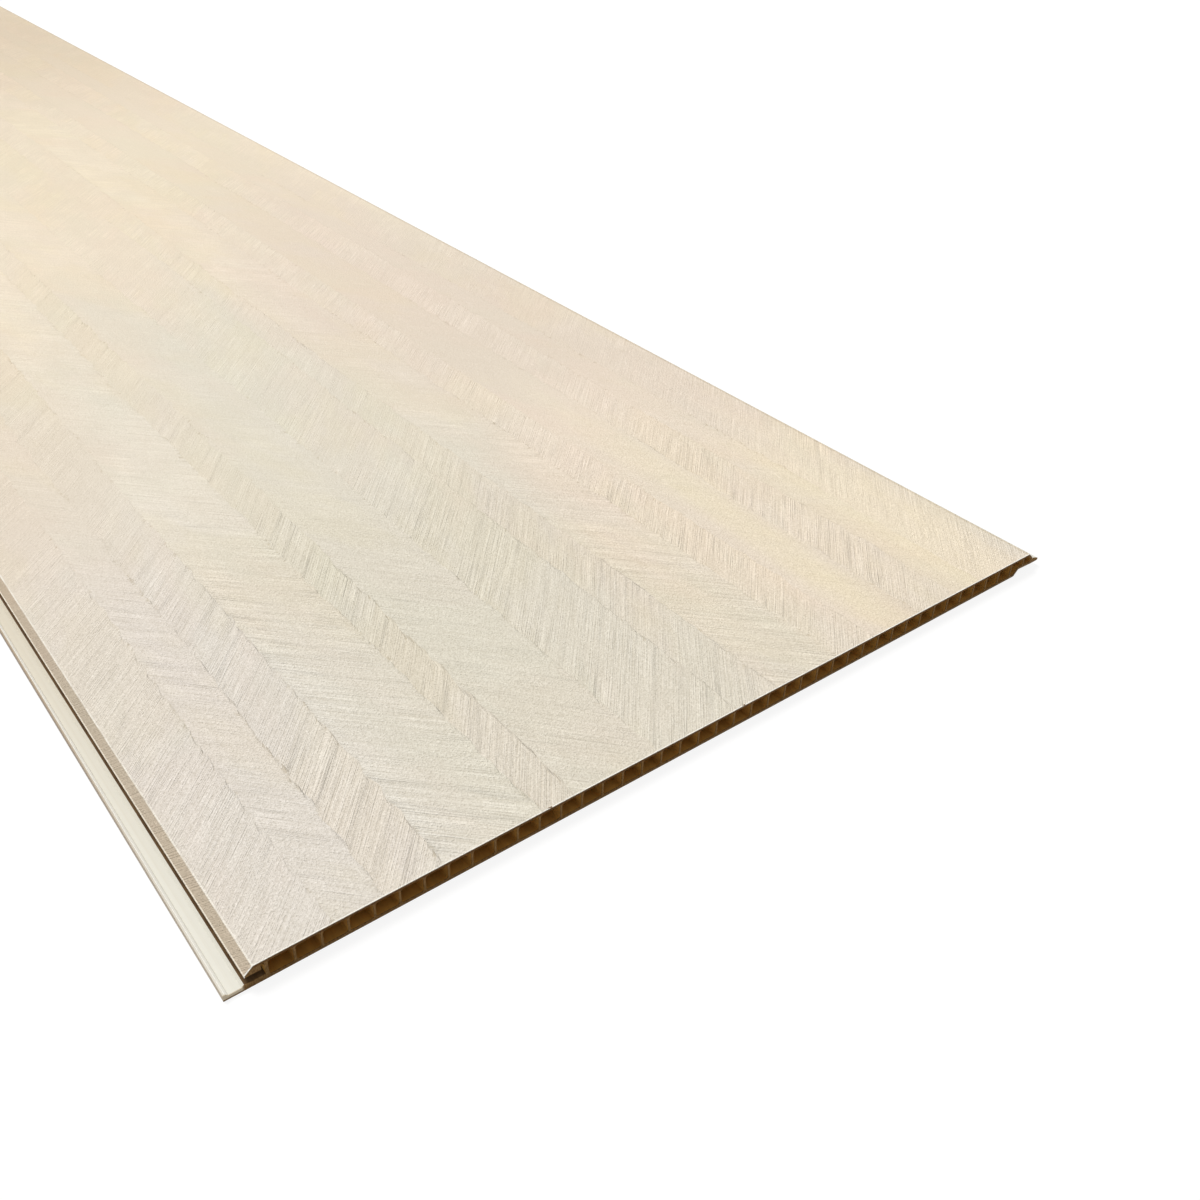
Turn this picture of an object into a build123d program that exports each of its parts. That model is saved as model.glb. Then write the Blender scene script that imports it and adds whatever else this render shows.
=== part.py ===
# Hollow wall cladding panel, millimetres.
# X runs across the cover width, Y along the length, Z from the wall to the room.
# The origin is on the back face, midway along the panel and midway across its cover width.
# The groove and the nailing flange are on the -X edge, the tongue is on the +X edge.
import os

from build123d import *

# Overall sizes
length = 3000.0
cover_width = 400.0
thickness = 9.0

# Decor film laminated over the face, the bevels and the noses
film_thickness = 0.25

# Bevelled long edges, which make the V joint between two panels
bevel_width = 3.2
bevel_drop = 2.8
nose_height = 0.8

# Walls of the hollow section, measured from the outer surface
skin = 1.25
web = 0.8
end_web = 1.1
target_pitch = 9.4
cell_corner = 0.9

# Groove under the left bevel, deeper than the tongue, with a glue pocket behind its lip
groove_floor = 2.3
groove_end_gap = 1.75
pocket_width = 1.15

# Nailing flange beyond the groove: a shallow channel for the screws, and a bead on its edge
flange_reach = 7.5
channel_thickness = 1.7
channel_inset = 1.4
channel_slope = 0.8
bead_rise = 0.9
bead_width = 0.9
bead_slope = 1.0
bead_round = 0.25

# Tongue on the right edge, and the recess under it that clears the next panel's flange
tongue_clearance = 0.3
tongue_reach = 5.0
tongue_land = 1.3
tongue_round = 0.6
recess_clearance = 0.4
recess_end_gap = 2.7
step_run = 2.8

# Stations and levels worked out from the sizes above
left_edge = -cover_width / 2
right_edge = cover_width / 2
flange_edge = left_edge - flange_reach
tongue_tip = right_edge + tongue_reach
groove_wall = left_edge + tongue_reach + groove_end_gap
lip_end = groove_wall - pocket_width
nose_top = thickness - bevel_drop
nose_bottom = nose_top - nose_height
bead_top = channel_thickness + bead_rise
tongue_bottom = groove_floor + tongue_clearance
tongue_top = nose_bottom - tongue_clearance
lead_in = (tongue_top - tongue_bottom) / 2
recess_ceiling = bead_top + recess_clearance
recess_end = right_edge - flange_reach - recess_end_gap
step_foot = recess_end - step_run

# The last web stands as far from the middle as the first one, which closes the groove
first_web = groove_wall + end_web / 2
last_web = -first_web
cell_count = round((last_web - first_web) / target_pitch)
cell_pitch = (last_web - first_web) / cell_count

face_profile = [
    (right_edge, nose_top),
    (right_edge - bevel_width, thickness),
    (left_edge + bevel_width, thickness),
    (left_edge, nose_top),
]

groove_profile = [
    (left_edge, nose_bottom),
    (lip_end, nose_bottom),
    (lip_end, thickness - skin),
    (groove_wall, thickness - skin),
    (groove_wall, groove_floor),
]

flange_profile = [
    (left_edge - channel_inset + channel_slope, groove_floor),
    (left_edge - channel_inset, channel_thickness),
    (flange_edge + bead_width + bead_slope, channel_thickness),
    (flange_edge + bead_width, bead_top),
    (flange_edge, bead_top),
    (flange_edge, 0),
]

recess_profile = [
    (step_foot, 0),
    (recess_end, recess_ceiling),
    (right_edge, tongue_bottom),
]

tongue_profile = [
    (tongue_tip, tongue_bottom),
    (tongue_tip, tongue_top - lead_in),
    (right_edge + tongue_land, tongue_top),
    (right_edge, tongue_top),
]


def polygon(points):
    return make_face(Polyline(points, close=True))


def round_corners(face, radius, points):
    """Round the corners of a face that lie at the given points."""
    return fillet([face.vertices().sort_by_distance(point)[0] for point in points], radius)


def round_all(face, radius):
    """Round every corner of a face, with a radius that its shortest side has room for."""
    shortest = min(edge.length for edge in face.edges())
    return fillet(face.vertices(), min(radius, 0.45 * shortest))


def outer_section():
    """Outline of the whole panel, film included."""
    section = polygon(face_profile + groove_profile + flange_profile + recess_profile + tongue_profile)
    section = round_corners(section, bead_round, flange_profile[3:5])
    tip_height = tongue_profile[1][1] - tongue_bottom
    return round_corners(section, min(tongue_round, 0.45 * tip_height), tongue_profile[:2])


def film_section():
    """Strip under the face profile, down to the bottom of each nose."""
    cap = polygon(face_profile + [(left_edge, 0), (right_edge, 0)])
    strip = cap - offset(cap, -film_thickness, kind=Kind.INTERSECTION)
    return strip - Rectangle(cover_width, 2 * nose_bottom)


def cell_region():
    """Space inside the skins, which follows the right bevel and the step of the recess."""
    core = polygon([(left_edge, 0)] + recess_profile + face_profile[:2] + [(left_edge, thickness)])
    return offset(core, -skin, kind=Kind.INTERSECTION)


def cell_sections():
    """One rounded cell between each two webs, and a small one behind the right bevel."""
    region = cell_region()
    webs = [first_web + number * cell_pitch for number in range(cell_count + 1)]
    left_sides = [first_web + end_web / 2] + [station + web / 2 for station in webs[1:]]
    right_sides = [station - web / 2 for station in webs[1:]] + [right_edge]
    cells = []
    for left, right in zip(left_sides, right_sides):
        column = Pos((left + right) / 2, thickness / 2) * Rectangle(right - left, thickness)
        cells.append(round_all((column & region).face(), cell_corner))
    return cells


def extrude_along(section):
    """Solid of a section that is drawn in X and Z, centred on the length."""
    return extrude(Plane.XZ * section, amount=length / 2, both=True)


film = film_section()
profile = outer_section() - film - cell_sections()

nodes = {
    "hollow_profile": extrude_along(profile),
    "decor_film": extrude_along(film),
}

os.makedirs("parts", exist_ok=True)
for name, solid in nodes.items():
    export_step(solid, f"parts/{name}.step")
print(f"{cell_count} cells at {cell_pitch:.3f} mm, nodes: {', '.join(nodes)}")
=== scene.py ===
import math
import random

import bpy
from mathutils import Matrix, Vector, noise


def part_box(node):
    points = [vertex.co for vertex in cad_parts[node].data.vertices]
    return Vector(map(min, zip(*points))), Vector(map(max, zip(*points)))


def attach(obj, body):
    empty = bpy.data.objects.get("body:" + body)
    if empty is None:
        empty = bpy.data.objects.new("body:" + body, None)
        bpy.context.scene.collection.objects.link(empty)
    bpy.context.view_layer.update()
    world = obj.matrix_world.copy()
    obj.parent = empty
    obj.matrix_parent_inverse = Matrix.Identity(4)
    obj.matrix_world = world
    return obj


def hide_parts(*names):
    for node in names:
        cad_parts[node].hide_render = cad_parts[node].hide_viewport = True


mm = 0.001  # everything below is in metres

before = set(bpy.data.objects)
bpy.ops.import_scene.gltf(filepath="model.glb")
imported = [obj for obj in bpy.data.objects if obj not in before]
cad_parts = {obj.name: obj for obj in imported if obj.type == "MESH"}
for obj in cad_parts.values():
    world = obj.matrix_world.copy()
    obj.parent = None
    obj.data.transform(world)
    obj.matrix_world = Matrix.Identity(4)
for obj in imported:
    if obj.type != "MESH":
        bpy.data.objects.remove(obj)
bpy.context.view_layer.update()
filmLow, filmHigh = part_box("decor_film")
profileLow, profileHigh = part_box("hollow_profile")
print("frame loaded:", sorted(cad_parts))


def deselectAll():
    bpy.ops.object.select_all(action="DESELECT")


# camera, at the viewing angle of the photo
cameraSetup = {
    "place": (-0.2622, -1.7399, 0.3124),
    "turnedRight": 39.30,
    "lookingDown": 35.50,
    "roll": 2.19,
    "lens": 35.63,
    "sensor": 36.0,
    "nearest": 0.01,
}


def addCamera(setup):
    turn = Matrix.Rotation(math.radians(-setup["turnedRight"]), 4, "Z")
    tip = Matrix.Rotation(math.radians(90 - setup["lookingDown"]), 4, "X")
    roll = Matrix.Rotation(math.radians(setup["roll"]), 4, "Z")
    deselectAll()
    bpy.ops.object.camera_add(location=setup["place"], rotation=(turn @ tip @ roll).to_euler())
    camera = bpy.context.object
    camera.name = "panelCamera"
    camera.data.lens = setup["lens"]
    camera.data.sensor_width = setup["sensor"]
    camera.data.clip_start = setup["nearest"]
    bpy.context.scene.camera = camera
    print("camera ready")


addCamera(cameraSetup)


def lookColour(red, green, blue):
    # screen colour from 0 to 255, turned into the linear colour that a shader takes
    def linear(value):
        value = value / 255
        return value / 12.92 if value <= 0.04045 else ((value + 0.055) / 1.055) ** 2.4

    return (linear(red), linear(green), linear(blue), 1.0)


def addNode(tree, kind, feeds=None, **settings):
    # feeds holds a number, a colour or another node's output for each input
    node = tree.nodes.new(kind)
    for name, value in settings.items():
        setattr(node, name, value)
    for place, value in (feeds or {}).items():
        if isinstance(value, bpy.types.NodeSocket):
            tree.links.new(value, node.inputs[place])
        else:
            node.inputs[place].default_value = value
    return node


def calculate(tree, operation, *values):
    return addNode(tree, "ShaderNodeMath", dict(enumerate(values)), operation=operation).outputs[0]


def multiplyAll(tree, first, *others):
    for other in others:
        first = calculate(tree, "MULTIPLY", first, other)
    return first


def fade(tree, value, low, high, atLow=0.0, atHigh=1.0):
    feeds = dict(enumerate((value, low, high, atLow, atHigh)))
    return addNode(tree, "ShaderNodeMapRange", feeds, interpolation_type="SMOOTHSTEP").outputs[0]


def mixColours(tree, factor, first, second, how="MIX"):
    feeds = {0: factor, 6: first, 7: second}
    return addNode(tree, "ShaderNodeMix", feeds, data_type="RGBA", blend_type=how).outputs[2]


def paint(tree, colour, screenColour, amount):
    # lays a screen colour over what is there
    return mixColours(tree, amount, colour, lookColour(*screenColour))


def tint(tree, colour, tone, amount):
    # multiplies what is there by a tone
    return mixColours(tree, amount, colour, (*tone, 1.0), "MULTIPLY")


def objectPlace(tree, scale=(1, 1, 1)):
    source = addNode(tree, "ShaderNodeTexCoord").outputs["Object"]
    return addNode(tree, "ShaderNodeMapping", {"Vector": source, "Scale": scale}).outputs[0]


def mapPlace(tree, mapName, scale=(1, 1, 1), shift=(0, 0, 0)):
    source = addNode(tree, "ShaderNodeUVMap", uv_map=mapName).outputs[0]
    feeds = {"Vector": source, "Location": shift, "Scale": scale}
    return addNode(tree, "ShaderNodeMapping", feeds).outputs[0]


def cloudiness(tree, vector, detail, roughness):
    feeds = {"Vector": vector, "Scale": 1.0, "Detail": detail, "Roughness": roughness}
    return addNode(tree, "ShaderNodeTexNoise", feeds).outputs[0]


def solidNoise(tree, scale, detail, roughness):
    # runs straight through the piece
    return cloudiness(tree, objectPlace(tree, scale), detail, roughness)


def stripNoise(tree, scale, detail, roughness, shift=(0, 0, 0)):
    # follows the slanted lines of each strip
    return cloudiness(tree, mapPlace(tree, "strips", scale, shift), detail, roughness)


def axes(tree, vector):
    return addNode(tree, "ShaderNodeSeparateXYZ", {0: vector}).outputs[:3]


def relief(tree, height, distance, strength):
    feeds = {"Height": height, "Distance": distance, "Strength": strength}
    return addNode(tree, "ShaderNodeBump", feeds).outputs[0]


def seenRays(tree):
    # 1 where the camera sees a thing, straight, in a reflection or through glass
    rays = addNode(tree, "ShaderNodeLightPath").outputs
    straight = calculate(tree, "MAXIMUM", rays["Is Camera Ray"], rays["Is Glossy Ray"])
    return calculate(tree, "MAXIMUM", straight, rays["Is Transmission Ray"])


def startMaterial(name, roughness, specular):
    material = bpy.data.materials.new(name)
    material.use_nodes = True
    surface = material.node_tree.nodes["Principled BSDF"]
    surface.inputs["Roughness"].default_value = roughness
    surface.inputs["Specular IOR Level"].default_value = specular
    return material, material.node_tree, surface


# studio: white floor, even sky, and one high soft lamp beyond the far end
studio = {
    "floorSize": 30.0,
    "floorGap": 0.2 * mm,
    "floorColour": (0.86, 0.86, 0.86, 1.0),
    "floorSeenColour": (0.18, 0.18, 0.18, 1.0),
    "floorLift": 0.86,
    "floorRoughness": 0.9,
    "skyColour": (1.0, 0.995, 0.985, 1.0),
    "skyStrength": 0.38,
    "backdropColour": (1.0, 1.0, 1.0, 1.0),
    "backdropStrength": 1.0,
    "lampColour": (1.0, 0.985, 0.96),
    "lampPower": 2.34,
    "lampSoftness": 26.0,
    "lampAzimuth": 105.0,
    "lampHeight": 60.0,
    "lampDistance": 4.0,
}


def addBackground(tree, colour, strength):
    feeds = {"Color": colour, "Strength": strength}
    return addNode(tree, "ShaderNodeBackground", feeds).outputs[0]


def addSky(setup):
    world = bpy.data.worlds.new("studioSky")
    bpy.context.scene.world = world
    world.use_nodes = True
    tree = world.node_tree
    tree.nodes.clear()
    light = addBackground(tree, setup["skyColour"], setup["skyStrength"])
    backdrop = addBackground(tree, setup["backdropColour"], setup["backdropStrength"])
    mix = addNode(tree, "ShaderNodeMixShader", {0: seenRays(tree), 1: light, 2: backdrop}).outputs[0]
    addNode(tree, "ShaderNodeOutputWorld", {"Surface": mix})


def addFloor(setup):
    deselectAll()
    bpy.ops.mesh.primitive_plane_add(size=setup["floorSize"], location=(0, 0, -setup["floorGap"]))
    floor = bpy.context.object
    floor.name = "studioFloor"
    material, tree, surface = startMaterial("floorWhite", setup["floorRoughness"], specular=0.0)
    seen = seenRays(tree)
    colour = mixColours(tree, seen, setup["floorColour"], setup["floorSeenColour"])
    tree.links.new(colour, surface.inputs["Base Color"])
    surface.inputs["Emission Color"].default_value = setup["backdropColour"]
    lift = calculate(tree, "MULTIPLY", seen, setup["floorLift"])
    tree.links.new(lift, surface.inputs["Emission Strength"])
    floor.data.materials.append(material)


def addLamp(setup):
    azimuth = math.radians(setup["lampAzimuth"])
    height = math.radians(setup["lampHeight"])
    flat = math.cos(height)
    towards = Vector((math.cos(azimuth) * flat, math.sin(azimuth) * flat, math.sin(height)))
    deselectAll()
    bpy.ops.object.light_add(type="SUN", location=towards * setup["lampDistance"])
    lamp = bpy.context.object
    lamp.name = "softLamp"
    lamp.rotation_euler = towards.to_track_quat("Z", "Y").to_euler()
    lamp.data.energy = setup["lampPower"]
    lamp.data.angle = math.radians(setup["lampSoftness"])
    lamp.data.color = setup["lampColour"]


addSky(studio)
addFloor(studio)
addLamp(studio)
bpy.context.scene.view_settings.view_transform = "Standard"
print("studio ready")

# decor film: embossed strips run along the panel, each with slanted lines of its own
filmSetup = {
    "bevelWidth": 3.2 * mm,
    "noseHeight": 0.8 * mm,
    "thickness": 0.25 * mm,
    # each strip: right edge in millimetres from the left fold, slope of its lines, and their depth
    "strips": [
        (28, 1.0, 1.0), (45, -1.05, 0.8), (69, 1.15, 1.0), (107, -1.0, 1.0), (125, 1.35, 0.95),
        (163, -1.1, 0.75), (205, 1.15, 0.9), (225, 1.25, 1.0), (261, -1.0, 0.9), (282, 1.0, 1.1),
        (313, -1.1, 0.45), (336, 1.0, 1.1), (354, -0.9, 0.4), (393.6, 1.0, 0.6),
    ],
    "seed": 7,
    "lineStep": 1.0 * mm,
    "stepSpread": 0.38,
    "lineHeight": 0.037 * mm,
    "ribHalf": 0.5,
    "ribSpread": 0.2,
    "endSpare": 30 * mm,
    "faceLevel": 0.042 * mm,  # from the top of the box down to the face between its crests
    # how deep the lines are along a strip, with the share of each noise and the limits
    "vigour": 0.9,
    "bundleShare": 0.15,
    "patchShare": 0.25,
    "shallowest": 0.65,
    "deepest": 1.1,
    "foldDepth": 0.8,
    # noise along the panel: shift from strip to strip and from side to side, waves in a metre, and level
    "bundleWaves": (2.3, 1.0, 70.0, 8.8),
    "patchWaves": (3.1, 0.4, 11.0, 3.3),
    "seamWaves": [(3.7, 0.0, 1.9, 0.3), (5.1, 0.0, 9.0, 4.2), (7.7, 0.0, 130.0, 9.1)],
    "seamWander": 2.6 * mm,
    "slowShare": 1.6,
    "quickShare": 0.35,
    "seamJag": 1.7 * mm,
    "seamHalf": 0.3 * mm,
    "stripShift": 7.3,
    "farFromSeam": 20 * mm,
    "flankTilt": 30.0,
    "touching": 1e-6,
    "sawTolerance": 1e-7,

    # tone by the cut end, and the painted light it turns to along the panel: warmer and darker over the
    # middle, a painted lighting gradient with painted shade against the lamp's sheen at a graze, paler again
    # beyond; from and to where along the panel, and the colour
    "near": (225, 216, 200),
    "lightingTones": [
        ((-1.36, -0.76), (233, 218, 195)),
        ((-0.7, 0.02), (212, 194, 167)),
        ((0.2, 1.0), (228, 215, 195)),
    ],
    # soft stains of the print: place across and along, half sizes, colour and strength
    "stains": [
        (-0.165, -1.42, 0.060, 0.22, (223, 216, 206), 0.9),
        (-0.030, -1.32, 0.085, 0.34, (221, 214, 198), 0.9),
        (0.130, -1.20, 0.090, 0.48, (225, 210, 193), 0.8),
        (0.120, -1.37, 0.085, 0.14, (235, 221, 202), 0.7),
        (-0.170, -1.10, 0.045, 0.16, (222, 209, 190), 0.7),
        (0.104, -1.40, 0.012, 0.11, (237, 224, 196), 0.6),
        (0.170, -1.43, 0.026, 0.10, (240, 226, 200), 0.75),
        (0.060, -0.66, 0.130, 0.14, (231, 217, 191), 0.6),
    ],
    "stainRaggedness": 1.6,
    "stainReach": (2.3, 1.2),
    # colour patches with ragged edges, over the strips
    "patchTones": [(0.99, 1.002, 0.995), (1.006, 0.99, 0.988), (1.004, 1.0, 0.965)],
    "patchShift": (5.3, 2.9),

    # noises of the print and the relief: waves in a metre along each axis, detail and roughness
    "stainNoise": ((28, 6, 1), 3.0, 0.5),
    "patchNoise": ((9, 6, 1), 4.0, 0.6),
    "fineNoise": ((45, 1500, 1), 1.0, 0.6),
    "bundleNoise": ((22, 330, 1), 2.0, 0.5),
    "fibreNoise": ((480, 40, 1), 2.0, 0.5),
    "grainNoise": ((1150, 1150, 1150), 1.0, 0.8),
    "calmNoise": ((42, 24, 1), 2.0, 0.5),
    "speckNoise": ((620, 620, 1), 2.0, 0.6),
    "seamNoise": ((200, 260, 1), 1.0, 0.5),
    "tickNoise": ((50, 400, 1), 2.0, 0.6),
    "quietNoise": ((1, 14, 1), 1.0, 0.5),
    # breaks in the painted highlight along the left fold
    "foldBreakNoise": ((1, 90, 1), 3.0, 0.7),
    "chipNoise": ((420, 420, 420), 2.0, 0.5),
    "nickNoise": ((170, 300, 1), 1.0, 0.5),
    # what each of them does: from and to which value, and where given, the result at each
    "patchFade": (0.48, 0.58),
    "calmFade": (0.35, 0.62, 0.65, 1.15),
    "bundleFade": (0.4, 0.6, 0.85, 1.1),
    "speckFade": (0.62, 0.7),
    "tickFade": (0.52, 0.64),
    "quietFade": (0.45, 0.6, 0.1, 1.0),
    "foldBreakFade": (0.35, 0.6, 0.5, 1.0),
    "nickFade": (0.68, 0.7),

    # relief: its lines grow softer further from the cut end
    "reliefDepth": 0.61 * mm,
    "fibreWeight": 0.15,
    "grainWeight": 0.75,
    "softening": (-1.34, -1.2, 1.0, 0.6),
    "seamRaggedness": 3.0 * mm,
    "tickReach": (3.2 * mm, 1.5 * mm),
    "tickDepth": 0.16,
    # painted shade in the hollows and the ticks, and painted highlights on the crests
    "hollowFade": (0.5, 0.3),
    "crestFade": (0.5, 0.7),
    "hollowShadeTone": (0.885, 0.875, 0.85),
    "crestHighlightTone": (1.14, 1.15, 1.17),
    # paler colour painted under deep lines, as painted light against their own shade
    "deepFade": (0.35, 1.3),
    "deepPaintedLight": (1.085, 1.09, 1.1),
    "speckTone": (1.1, 1.105, 1.12),
    "tickShadeTone": (0.92, 0.9, 0.86),

    # long edges and sawn ends
    # bevels darkened with painted shade
    "bevelShadeTone": (0.714, 0.644, 0.551),
    "bevelBlur": 0.1 * mm,
    # painted shade by the right fold, and a painted highlight along the left fold
    "rightFoldShadeTone": (0.84, 0.82, 0.78),
    "rightFoldReach": (1.8 * mm, 0.9 * mm),
    "leftFoldHighlight": (250, 244, 232),
    "leftFoldReach": (0.35 * mm, 0.175 * mm),
    "rimColour": (250, 240, 222),
    "rimReach": (0.32 * mm, 0.192 * mm),
    # white carrier at the sawn edges, also a painted highlight
    "sawnColour": (255, 252, 242),
    "sawnReach": (0.18 * mm, 0.08 * mm),
    "chipDepth": 0.5 * mm,
    "nickColour": (120, 92, 58),
    "nickReach": (0.6 * mm, 0.45 * mm),
}


def waveNoise(waves, strip, along, right=0):
    stripShift, sideShift, perMetre, level = waves
    return noise.noise(Vector((strip * stripShift + sideShift * right, along * perMetre, level)))


def seamStray(setup, number, along):
    # how far a seam strays sideways at a place along the panel, slowly and in ragged jumps
    slow, quick, ragged = (waveNoise(waves, number, along) for waves in setup["seamWaves"])
    gentle = setup["slowShare"] * slow + setup["quickShare"] * quick
    return setup["seamWander"] * gentle + setup["seamJag"] * ragged


def makeFilmGrid(setup):
    # a flat grid with two columns for each strip, and one row for each crest or hollow of its lines
    random.seed(setup["seed"])
    faceLeft = filmLow.x + setup["bevelWidth"]
    faceRight = filmHigh.x - setup["bevelWidth"]
    step = setup["lineStep"]
    strips = setup["strips"]
    last = len(strips) - 1
    columns = 2 * len(strips)
    # seams between the strips, and how far the lines have climbed along the panel at each
    seams = [0.0]
    climb = [0.0]
    for edge, slope, depth in strips:
        seams.append(edge * mm)
        climb.append(climb[-1] + slope * (seams[-1] - seams[-2]))
    rowsNeeded = int((2 * filmHigh.y + max(climb) - min(climb) + setup["endSpare"]) / step)

    deselectAll()
    bpy.ops.mesh.primitive_grid_add(x_subdivisions=columns - 1, y_subdivisions=rowsNeeded, size=1)
    film = bpy.context.object
    film.name = "decorFilm"
    mesh = film.data
    rows = len(mesh.vertices) // columns
    print("film grid:", columns, "columns by", rows, "rows")

    middle = (max(climb) + min(climb)) / 2
    spread = setup["stepSpread"] * step
    rowPlace = [(row - (rows - 1) / 2) * step + random.uniform(-spread, spread) for row in range(rows)]
    # each strip has its own line heights: crest and hollow by turns, and uneven
    half, uneven = setup["ribHalf"], setup["ribSpread"]
    ribs = []
    for strip in strips:
        ribs.append([random.uniform(-uneven, uneven) + (half if row % 2 else -half) for row in range(rows)])

    face = filmHigh.z - setup["faceLevel"]
    far = setup["farFromSeam"]
    mapPoints = []
    seamGaps = []
    depths = []
    for index, vertex in enumerate(mesh.vertices):
        row, column = divmod(index, columns)
        strip, right = divmod(column, 2)
        slope, depth = strips[strip][1:]
        base = rowPlace[row]
        left = faceLeft
        end = faceRight
        if strip > 0:
            left = faceLeft + seams[strip] + seamStray(setup, strip, base)
        if strip < last:
            end = faceLeft + seams[strip + 1] + seamStray(setup, strip + 1, base)
        onFold = column in (0, columns - 1)
        margin = 0.0 if onFold else setup["seamHalf"]
        across = end - margin if right else left + margin
        along = base + climb[strip] + slope * (across - left) - middle

        bundle = setup["bundleShare"] * waveNoise(setup["bundleWaves"], strip, along, right)
        patch = setup["patchShare"] * waveNoise(setup["patchWaves"], strip, along, right)
        vigour = max(setup["shallowest"], setup["vigour"] + bundle + patch)
        strength = min(setup["deepest"], depth * vigour)
        height = 0.0 if onFold else setup["lineHeight"] * ribs[strip][row] * strength
        vertex.co = (across, along, min(face + height, filmHigh.z))
        depths.append(setup["foldDepth"] if onFold else strength)
        mapPoints.append((across - faceLeft, base))
        # a fold is no seam, so it counts as far away
        fromLeft = across - left + (far if strip == 0 else 0)
        fromRight = end - across + (far if strip == last else 0)
        seamGaps.append((fromLeft, fromRight))

    mesh.attributes.new("lineDepth", "FLOAT", "POINT").data.foreach_set("value", depths)
    mesh.uv_layers[0].name = "strips"
    mesh.uv_layers.new(name="seams")
    stripMap, seamMap = mesh.uv_layers["strips"], mesh.uv_layers["seams"]
    for polygon in mesh.polygons:
        strip, onSeam = divmod(min(number % columns for number in polygon.vertices), 2)
        for loop in polygon.loop_indices:
            number = mesh.loops[loop].vertex_index
            across, base = mapPoints[number]
            stripMap.data[loop].uv = (across, base + setup["stripShift"] * strip)
            seamMap.data[loop].uv = (0, 0) if onSeam else seamGaps[number]
    return film


def closeTo(value, target):
    return abs(value - target) < filmSetup["touching"]


def pickEdges(mesh, wanted):
    # leaves edit mode, selects the edges whose two ends pass the test, and goes back in
    bpy.ops.mesh.select_all(action="DESELECT")
    bpy.ops.object.mode_set(mode="OBJECT")
    for edge in mesh.edges:
        edge.select = wanted(*(mesh.vertices[number].co for number in edge.vertices))
    bpy.ops.object.mode_set(mode="EDIT")


def pickPoints(mesh, wanted):
    bpy.ops.mesh.select_mode(type="VERT")
    bpy.ops.mesh.select_all(action="DESELECT")
    bpy.ops.object.mode_set(mode="OBJECT")
    for vertex in mesh.vertices:
        vertex.select = wanted(vertex.co)
    bpy.ops.object.mode_set(mode="EDIT")


def movePicked(mesh, across, up):
    # slides the selected points to one place across the panel and one height
    bpy.ops.object.mode_set(mode="OBJECT")
    for vertex in mesh.vertices:
        if vertex.select:
            vertex.co = (across, vertex.co.y, up)
    bpy.ops.object.mode_set(mode="EDIT")


def shapeFilm(setup, film):
    mesh = film.data
    halfLength = filmHigh.y
    top = filmHigh.z
    noseBottom = filmLow.z
    noseTop = noseBottom + setup["noseHeight"]
    thickness = setup["thickness"]
    bevelAngle = math.atan2(top - noseTop, setup["bevelWidth"])
    innerNoseTop = noseTop - thickness * math.tan((math.pi / 2 - bevelAngle) / 2)
    innerFoldShift = thickness * math.tan(bevelAngle / 2)

    bpy.ops.object.mode_set(mode="EDIT")
    # saw both ends straight
    for side in (-1, 1):
        bpy.ops.mesh.select_all(action="SELECT")
        bpy.ops.mesh.bisect(plane_co=(0, side * halfLength, 0), plane_no=(0, side, 0), clear_outer=True,
                            threshold=setup["sawTolerance"])

    for side, outer in ((-1, filmLow.x), (1, filmHigh.x)):
        fold = outer - side * setup["bevelWidth"]
        # bevel: pull its low edge out of the two ends of the fold, and fill up to the fold
        pickPoints(mesh, lambda place: closeTo(place.x, fold) and closeTo(abs(place.y), halfLength))
        bpy.ops.mesh.extrude_verts_indiv()
        movePicked(mesh, outer, noseTop)
        bpy.ops.mesh.edge_face_add()
        bpy.ops.mesh.select_mode(type="EDGE")
        pickEdges(mesh, lambda a, b: min(side * a.x, side * b.x) > side * fold - setup["touching"])
        bpy.ops.mesh.edge_face_add()
        # nose, its lip, and the inner side of the nose and the bevel
        pickEdges(mesh, lambda a, b: closeTo(a.x, outer) and closeTo(b.x, outer))
        inner = outer - side * thickness
        innerFold = fold - side * innerFoldShift
        corners = [(outer, noseBottom), (inner, noseBottom), (inner, innerNoseTop)]
        corners.append((innerFold, top - thickness))
        for across, up in corners:
            bpy.ops.mesh.extrude_edges_indiv()
            movePicked(mesh, across, up)
    print("bevels and noses folded")

    # inner side of the face, and the two sawn ends
    pickEdges(mesh, lambda a, b: all(closeTo(place.z, top - thickness) for place in (a, b)))
    bpy.ops.mesh.bridge_edge_loops()
    for side in (-1, 1):
        pickEdges(mesh, lambda a, b: all(closeTo(place.y, side * halfLength) for place in (a, b)))
        bpy.ops.mesh.edge_face_add()
    bpy.ops.mesh.select_all(action="SELECT")
    bpy.ops.mesh.normals_make_consistent(inside=False)
    bpy.ops.object.mode_set(mode="OBJECT")
    print("film closed:", len(mesh.polygons), "faces")


def mapFlanks(setup, film):
    # the lines run on over the bevels and the noses, where there is no seam
    mesh = film.data
    strips, gaps = mesh.uv_layers["strips"], mesh.uv_layers["seams"]
    far = setup["farFromSeam"]
    flattest = math.cos(math.radians(setup["flankTilt"]))
    for polygon in mesh.polygons:
        if polygon.normal.z > flattest and polygon.center.z > filmHigh.z - setup["thickness"]:
            continue
        for loop in polygon.loop_indices:
            place = mesh.vertices[mesh.loops[loop].vertex_index].co
            strips.data[loop].uv = (place.x - filmLow.x, place.y + place.x)
            gaps.data[loop].uv = (far, far)


film = makeFilmGrid(filmSetup)
shapeFilm(filmSetup, film)
mapFlanks(filmSetup, film)


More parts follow.
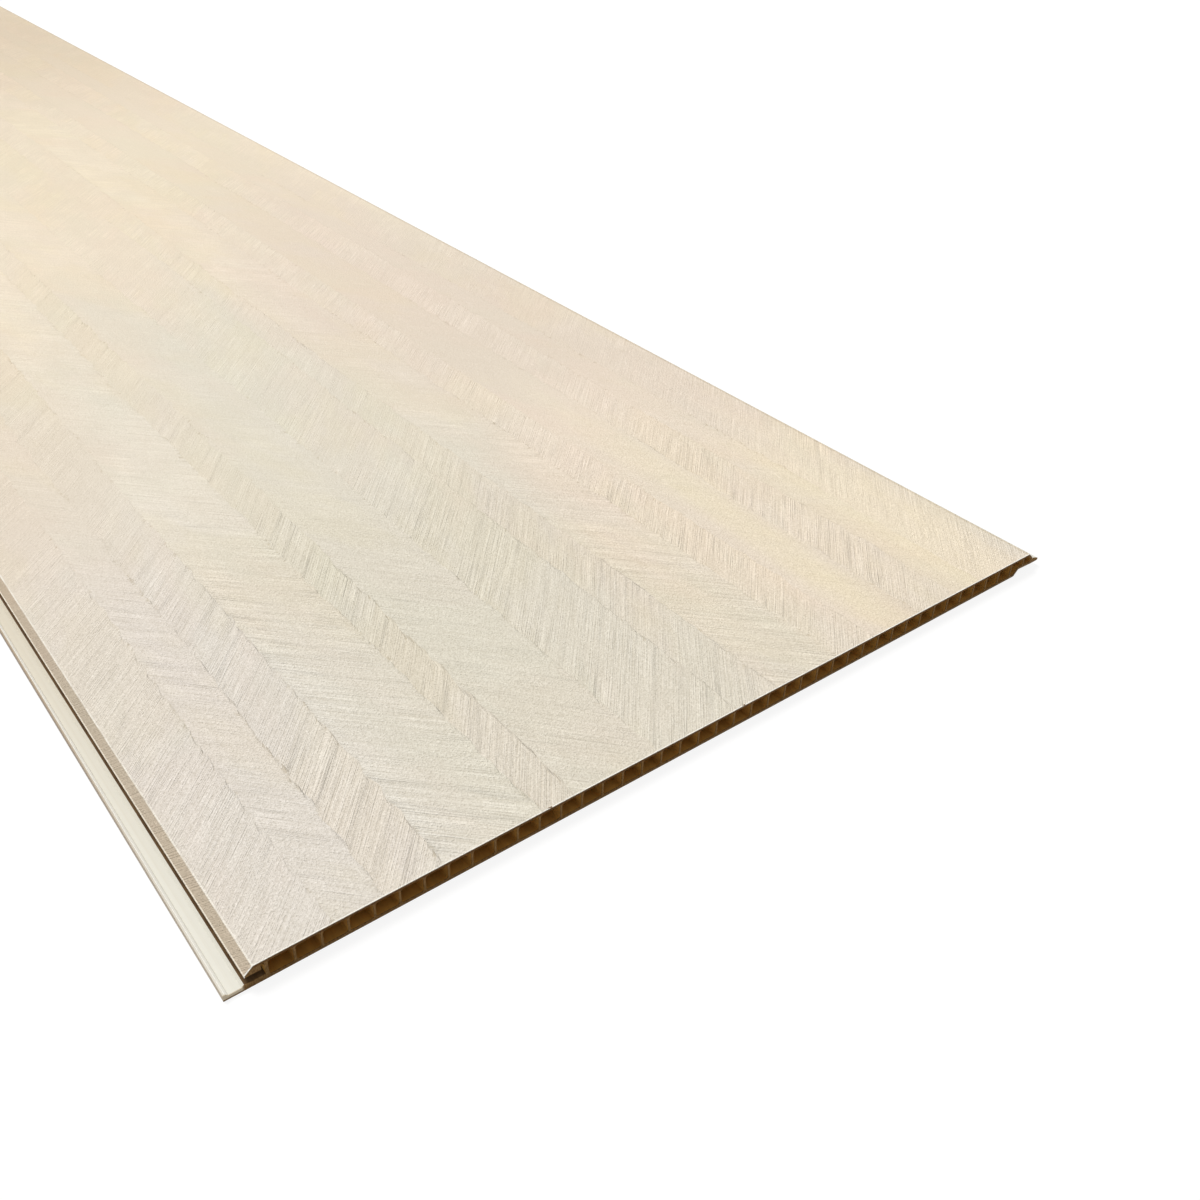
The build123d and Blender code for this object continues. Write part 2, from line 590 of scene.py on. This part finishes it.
def addStains(tree, setup, colour, across, along):
    # each stain is an ellipse with a cloudy edge
    ragged = solidNoise(tree, *setup["stainNoise"])
    for centreAcross, centreAlong, halfWide, halfLong, stain, strength in setup["stains"]:
        fromAcross = calculate(tree, "MULTIPLY_ADD", across, 1 / halfWide, -centreAcross / halfWide)
        fromAlong = calculate(tree, "MULTIPLY_ADD", along, 1 / halfLong, -centreAlong / halfLong)
        squares = [calculate(tree, "POWER", part, 2.0) for part in (fromAcross, fromAlong)]
        distance = calculate(tree, "SQRT", calculate(tree, "ADD", *squares))
        distance = calculate(tree, "MULTIPLY_ADD", ragged, setup["stainRaggedness"], distance)
        colour = paint(tree, colour, stain, fade(tree, distance, *setup["stainReach"], 0.0, strength))
    return colour


def printFilmAndLight(tree, setup, across, along):
    colour = lookColour(*setup["near"])
    # the tones along the panel are painted light: a lighting gradient with painted shade over the middle
    for stretch, tone in setup["lightingTones"]:
        colour = paint(tree, colour, tone, fade(tree, along, *stretch))
    colour = addStains(tree, setup, colour, across, along)
    for number, tone in enumerate(setup["patchTones"]):
        shift = (*(number * part for part in setup["patchShift"]), 0)
        patch = stripNoise(tree, *setup["patchNoise"], shift)
        colour = tint(tree, colour, tone, fade(tree, patch, *setup["patchFade"]))
    return colour


def findDepth(tree, setup):
    # lines are shallower in calm patches and between the bundles
    depth = addNode(tree, "ShaderNodeAttribute", attribute_name="lineDepth").outputs["Fac"]
    calm = fade(tree, solidNoise(tree, *setup["calmNoise"]), *setup["calmFade"])
    bundles = fade(tree, stripNoise(tree, *setup["bundleNoise"]), *setup["bundleFade"])
    return multiplyAll(tree, depth, calm, bundles)


def addNoise(tree, value, weight, total=0.0):
    # adds a noise, measured from its middle value
    centred = calculate(tree, "SUBTRACT", value, 0.5)
    return calculate(tree, "MULTIPLY_ADD", centred, weight, total)


def embossLines(tree, setup, along, depth):
    # slanted lines, fibres along the panel and a paper grain, all about the middle level of 0.5
    lines = addNoise(tree, stripNoise(tree, *setup["fineNoise"]), depth)
    lines = addNoise(tree, solidNoise(tree, *setup["fibreNoise"]), setup["fibreWeight"], lines)
    lines = addNoise(tree, solidNoise(tree, *setup["grainNoise"]), setup["grainWeight"], lines)
    return calculate(tree, "MULTIPLY_ADD", lines, fade(tree, along, *setup["softening"]), 0.5)


def markSeams(tree, setup):
    # ticks where the bundles of lines stop, in some stretches of each seam
    toLeft, toRight = axes(tree, mapPlace(tree, "seams"))[:2]
    gap = calculate(tree, "MINIMUM", toLeft, toRight)
    gap = calculate(tree, "MULTIPLY_ADD", solidNoise(tree, *setup["seamNoise"]), setup["seamRaggedness"], gap)
    ticks = fade(tree, stripNoise(tree, *setup["tickNoise"]), *setup["tickFade"])
    stretches = fade(tree, stripNoise(tree, *setup["quietNoise"]), *setup["quietFade"])
    return multiplyAll(tree, fade(tree, gap, *setup["tickReach"]), ticks, stretches)


def shadeLines(tree, setup, colour, lines, tick):
    # painted shade darkens the hollows and the ticks, painted highlights lighten the crests, and the specks
    # are paler
    colour = tint(tree, colour, setup["hollowShadeTone"], fade(tree, lines, *setup["hollowFade"]))
    colour = tint(tree, colour, setup["crestHighlightTone"], fade(tree, lines, *setup["crestFade"]))
    specks = fade(tree, solidNoise(tree, *setup["speckNoise"]), *setup["speckFade"])
    colour = tint(tree, colour, setup["speckTone"], specks)
    # painted shade in the ticks
    return tint(tree, colour, setup["tickShadeTone"], tick)


def colourLongEdges(tree, setup, colour, across):
    fold = filmHigh.x - setup["bevelWidth"]
    fromMiddle = calculate(tree, "ABSOLUTE", across)
    # the bevels are darkened with painted shade
    onBevel = fade(tree, fromMiddle, fold - setup["bevelBlur"], fold + setup["bevelBlur"])
    colour = tint(tree, colour, setup["bevelShadeTone"], onBevel)
    # painted shade darkens the right fold, and a painted highlight, broken in places, lightens the left one
    beforeFold = fade(tree, across, *(fold - reach for reach in setup["rightFoldReach"]))
    foldShade = multiplyAll(tree, beforeFold, calculate(tree, "LESS_THAN", across, fold))
    colour = tint(tree, colour, setup["rightFoldShadeTone"], foldShade)
    foldGap = calculate(tree, "ABSOLUTE", calculate(tree, "ADD", across, fold))
    foldBreaks = fade(tree, solidNoise(tree, *setup["foldBreakNoise"]), *setup["foldBreakFade"])
    foldLine = multiplyAll(tree, fade(tree, foldGap, *setup["leftFoldReach"]), foldBreaks)
    colour = paint(tree, colour, setup["leftFoldHighlight"], foldLine)
    # pale line along the low edge of each bevel
    rim = fade(tree, fromMiddle, *(filmHigh.x - reach for reach in setup["rimReach"]))
    return paint(tree, colour, setup["rimColour"], rim)


def colourSawnEnds(tree, setup, colour, along):
    # a white edge at the sawn ends: the print chipped to the white carrier, made brighter as a painted
    # highlight, with a few brown nicks
    fromEnd = calculate(tree, "SUBTRACT", filmHigh.y, calculate(tree, "ABSOLUTE", along))
    chips = solidNoise(tree, *setup["chipNoise"])
    whiteEdgeGap = calculate(tree, "MULTIPLY_ADD", chips, -setup["chipDepth"], fromEnd)
    colour = paint(tree, colour, setup["sawnColour"], fade(tree, whiteEdgeGap, *setup["sawnReach"]))
    nicks = fade(tree, solidNoise(tree, *setup["nickNoise"]), *setup["nickFade"])
    atEnd = fade(tree, fromEnd, *setup["nickReach"])
    return paint(tree, colour, setup["nickColour"], multiplyAll(tree, nicks, atEnd))


def makeFilmMaterial(setup):
    material, tree, surface = startMaterial("embossedFilm", roughness=0.5, specular=0.35)
    across, along = axes(tree, objectPlace(tree))[:2]
    colour = printFilmAndLight(tree, setup, across, along)
    depth = findDepth(tree, setup)
    # deep lines shade themselves, so paler colour is painted under them as painted light against that shade
    colour = tint(tree, colour, setup["deepPaintedLight"], fade(tree, depth, *setup["deepFade"]))
    tick = markSeams(tree, setup)
    lines = embossLines(tree, setup, along, depth)
    lines = calculate(tree, "MULTIPLY_ADD", tick, -setup["tickDepth"], lines)
    colour = shadeLines(tree, setup, colour, lines, tick)
    colour = colourLongEdges(tree, setup, colour, across)
    colour = colourSawnEnds(tree, setup, colour, along)
    tree.links.new(colour, surface.inputs["Base Color"])
    tree.links.new(relief(tree, lines, setup["reliefDepth"], 1.0), surface.inputs["Normal"])
    return material


film.data.materials.append(makeFilmMaterial(filmSetup))
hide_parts("decor_film")
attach(film, "root")
print("film finished")

# extruded profile: cream outside, brown where it is sawn and inside its cells
profileSetup = {
    "outsideColour": (228, 226, 215),
    "outsideFarColour": (222, 213, 194),
    "outsideFade": (-1.5, -1.2),
    "dieNoise": ((900, 3, 900), 2.0, 0.5),
    "dieFade": (0.45, 0.7),
    "dieTone": (0.965, 0.955, 0.935),

    # bead of the flange, from the flange's edge inwards, with painted shade that grows along the panel
    "beadReach": (1.05 * mm, 0.35 * mm),
    "beadGrowth": (-1.5, -1.33, 0.3, 1.0),
    "beadShadeTone": (0.57, 0.48, 0.4),
    # a painted highlight line on the slope of the bead
    "beadHighlightPlace": 1.2 * mm,
    "beadHighlightReach": (0.6 * mm, 0.3 * mm),
    "beadHighlightColour": (253, 251, 243),
    # painted shade on the outer side of the bead
    "beadSideReach": (0.2 * mm, 0.0),
    "beadSideShadeTone": (0.6, 0.5, 0.38),

    # the space between the skins: over this level, which climbs with the step under the tongue
    "stepFromTo": (186.9 * mm, 189.5 * mm),
    "insideLevel": (0.7 * mm, 3.5 * mm),
    "skinLevel": 7.9 * mm,
    "grooveMouth": -200.4 * mm,
    "grooveWall": -193.3 * mm,
    "lastCellEnd": 199.4 * mm,
    "insideColours": ((172, 124, 54), (190, 142, 66)),
    # brown core in the groove, darkened with painted shade
    "grooveShadeColours": ((88, 64, 36), (112, 86, 54)),
    "mottleNoise": ((260, 60, 260), 3.0, 0.6),
    "mottleFade": (0.35, 0.65),

    "sawnDepth": 0.3 * mm,
    "sawnColours": ((104, 74, 33), (138, 106, 62)),
    "sawNoise": ((1500, 200, 700), 3.0, 0.7),
    "sawFade": (0.35, 0.65),
    "topSkinFade": (7.4 * mm, 7.9 * mm),
    "topSkinTone": (0.6, 0.48, 0.24),
    "flangeEndFade": (-200.4 * mm, -201.4 * mm),
    "flangeSoleFade": (0.45 * mm, 0.75 * mm),
    "flangeEndColour": (206, 192, 168),

    "roughness": 0.4,
    "rougher": 0.4,  # what sawn and inner faces add to it
    "reliefDepth": 0.1 * mm,
    "reliefStrength": 0.4,
}


def colourOutside(tree, setup, across, along, dieLines):
    colour = lookColour(*setup["outsideColour"])
    colour = paint(tree, colour, setup["outsideFarColour"], fade(tree, along, *setup["outsideFade"]))
    colour = tint(tree, colour, setup["dieTone"], fade(tree, dieLines, *setup["dieFade"]))
    fromEdge = calculate(tree, "SUBTRACT", across, profileLow.x)
    # painted shade on the bead, growing along the panel
    growth = fade(tree, along, *setup["beadGrowth"])
    onBead = multiplyAll(tree, fade(tree, fromEdge, *setup["beadReach"]), growth)
    colour = tint(tree, colour, setup["beadShadeTone"], onBead)
    # painted highlight line on the bead's slope
    fromHighlight = calculate(tree, "ABSOLUTE", calculate(tree, "SUBTRACT", fromEdge, setup["beadHighlightPlace"]))
    colour = paint(tree, colour, setup["beadHighlightColour"], fade(tree, fromHighlight, *setup["beadHighlightReach"]))
    # painted shade on the bead's outer side
    return tint(tree, colour, setup["beadSideShadeTone"], fade(tree, fromEdge, *setup["beadSideReach"]))


def findInside(tree, setup, across, up):
    # 1 between the skins, from the mouth of the groove to the last cell
    feeds = dict(enumerate((across, *setup["stepFromTo"], *setup["insideLevel"])))
    bottom = addNode(tree, "ShaderNodeMapRange", feeds).outputs[0]
    limits = (
        ("GREATER_THAN", up, bottom),
        ("LESS_THAN", up, setup["skinLevel"]),
        ("GREATER_THAN", across, setup["grooveMouth"]),
        ("LESS_THAN", across, setup["lastCellEnd"]),
    )
    return multiplyAll(tree, *(calculate(tree, *limit) for limit in limits))


def mottle(tree, colours, amount):
    return paint(tree, lookColour(*colours[0]), colours[1], amount)


def colourSawn(tree, setup, across, up, sawMarks):
    # rough and brown, darker on the top skin, and cream on the flange
    colour = mottle(tree, setup["sawnColours"], fade(tree, sawMarks, *setup["sawFade"]))
    colour = tint(tree, colour, setup["topSkinTone"], fade(tree, up, *setup["topSkinFade"]))
    beyondGroove = fade(tree, across, *setup["flangeEndFade"])
    aboveSole = fade(tree, up, *setup["flangeSoleFade"])
    return paint(tree, colour, setup["flangeEndColour"], multiplyAll(tree, beyondGroove, aboveSole))


def makeProfileMaterial(setup):
    material, tree, surface = startMaterial("extrudedPlastic", setup["roughness"], specular=0.3)
    across, along, up = axes(tree, objectPlace(tree))
    dieLines = solidNoise(tree, *setup["dieNoise"])
    outside = colourOutside(tree, setup, across, along, dieLines)

    inside = findInside(tree, setup, across, up)
    blotches = fade(tree, solidNoise(tree, *setup["mottleNoise"]), *setup["mottleFade"])
    # the groove's brown is darkened with painted shade
    cells, groove = (mottle(tree, setup[name], blotches) for name in ("insideColours", "grooveShadeColours"))
    inGroove = calculate(tree, "LESS_THAN", across, setup["grooveWall"])
    colour = mixColours(tree, inside, outside, mixColours(tree, inGroove, cells, groove))

    sawMarks = solidNoise(tree, *setup["sawNoise"])
    fromMiddle = calculate(tree, "ABSOLUTE", along)
    atEnd = calculate(tree, "GREATER_THAN", fromMiddle, profileHigh.y - setup["sawnDepth"])
    colour = mixColours(tree, atEnd, colour, colourSawn(tree, setup, across, up, sawMarks))
    tree.links.new(colour, surface.inputs["Base Color"])
    rough = calculate(tree, "MAXIMUM", atEnd, inside)
    roughness = calculate(tree, "MULTIPLY_ADD", rough, setup["rougher"], setup["roughness"])
    tree.links.new(roughness, surface.inputs["Roughness"])
    height = mixColours(tree, atEnd, dieLines, sawMarks)
    normal = relief(tree, height, setup["reliefDepth"], setup["reliefStrength"])
    tree.links.new(normal, surface.inputs["Normal"])
    return material


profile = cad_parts["hollow_profile"]
profile.data.materials.clear()
profile.data.materials.append(makeProfileMaterial(profileSetup))
print("profile finished")
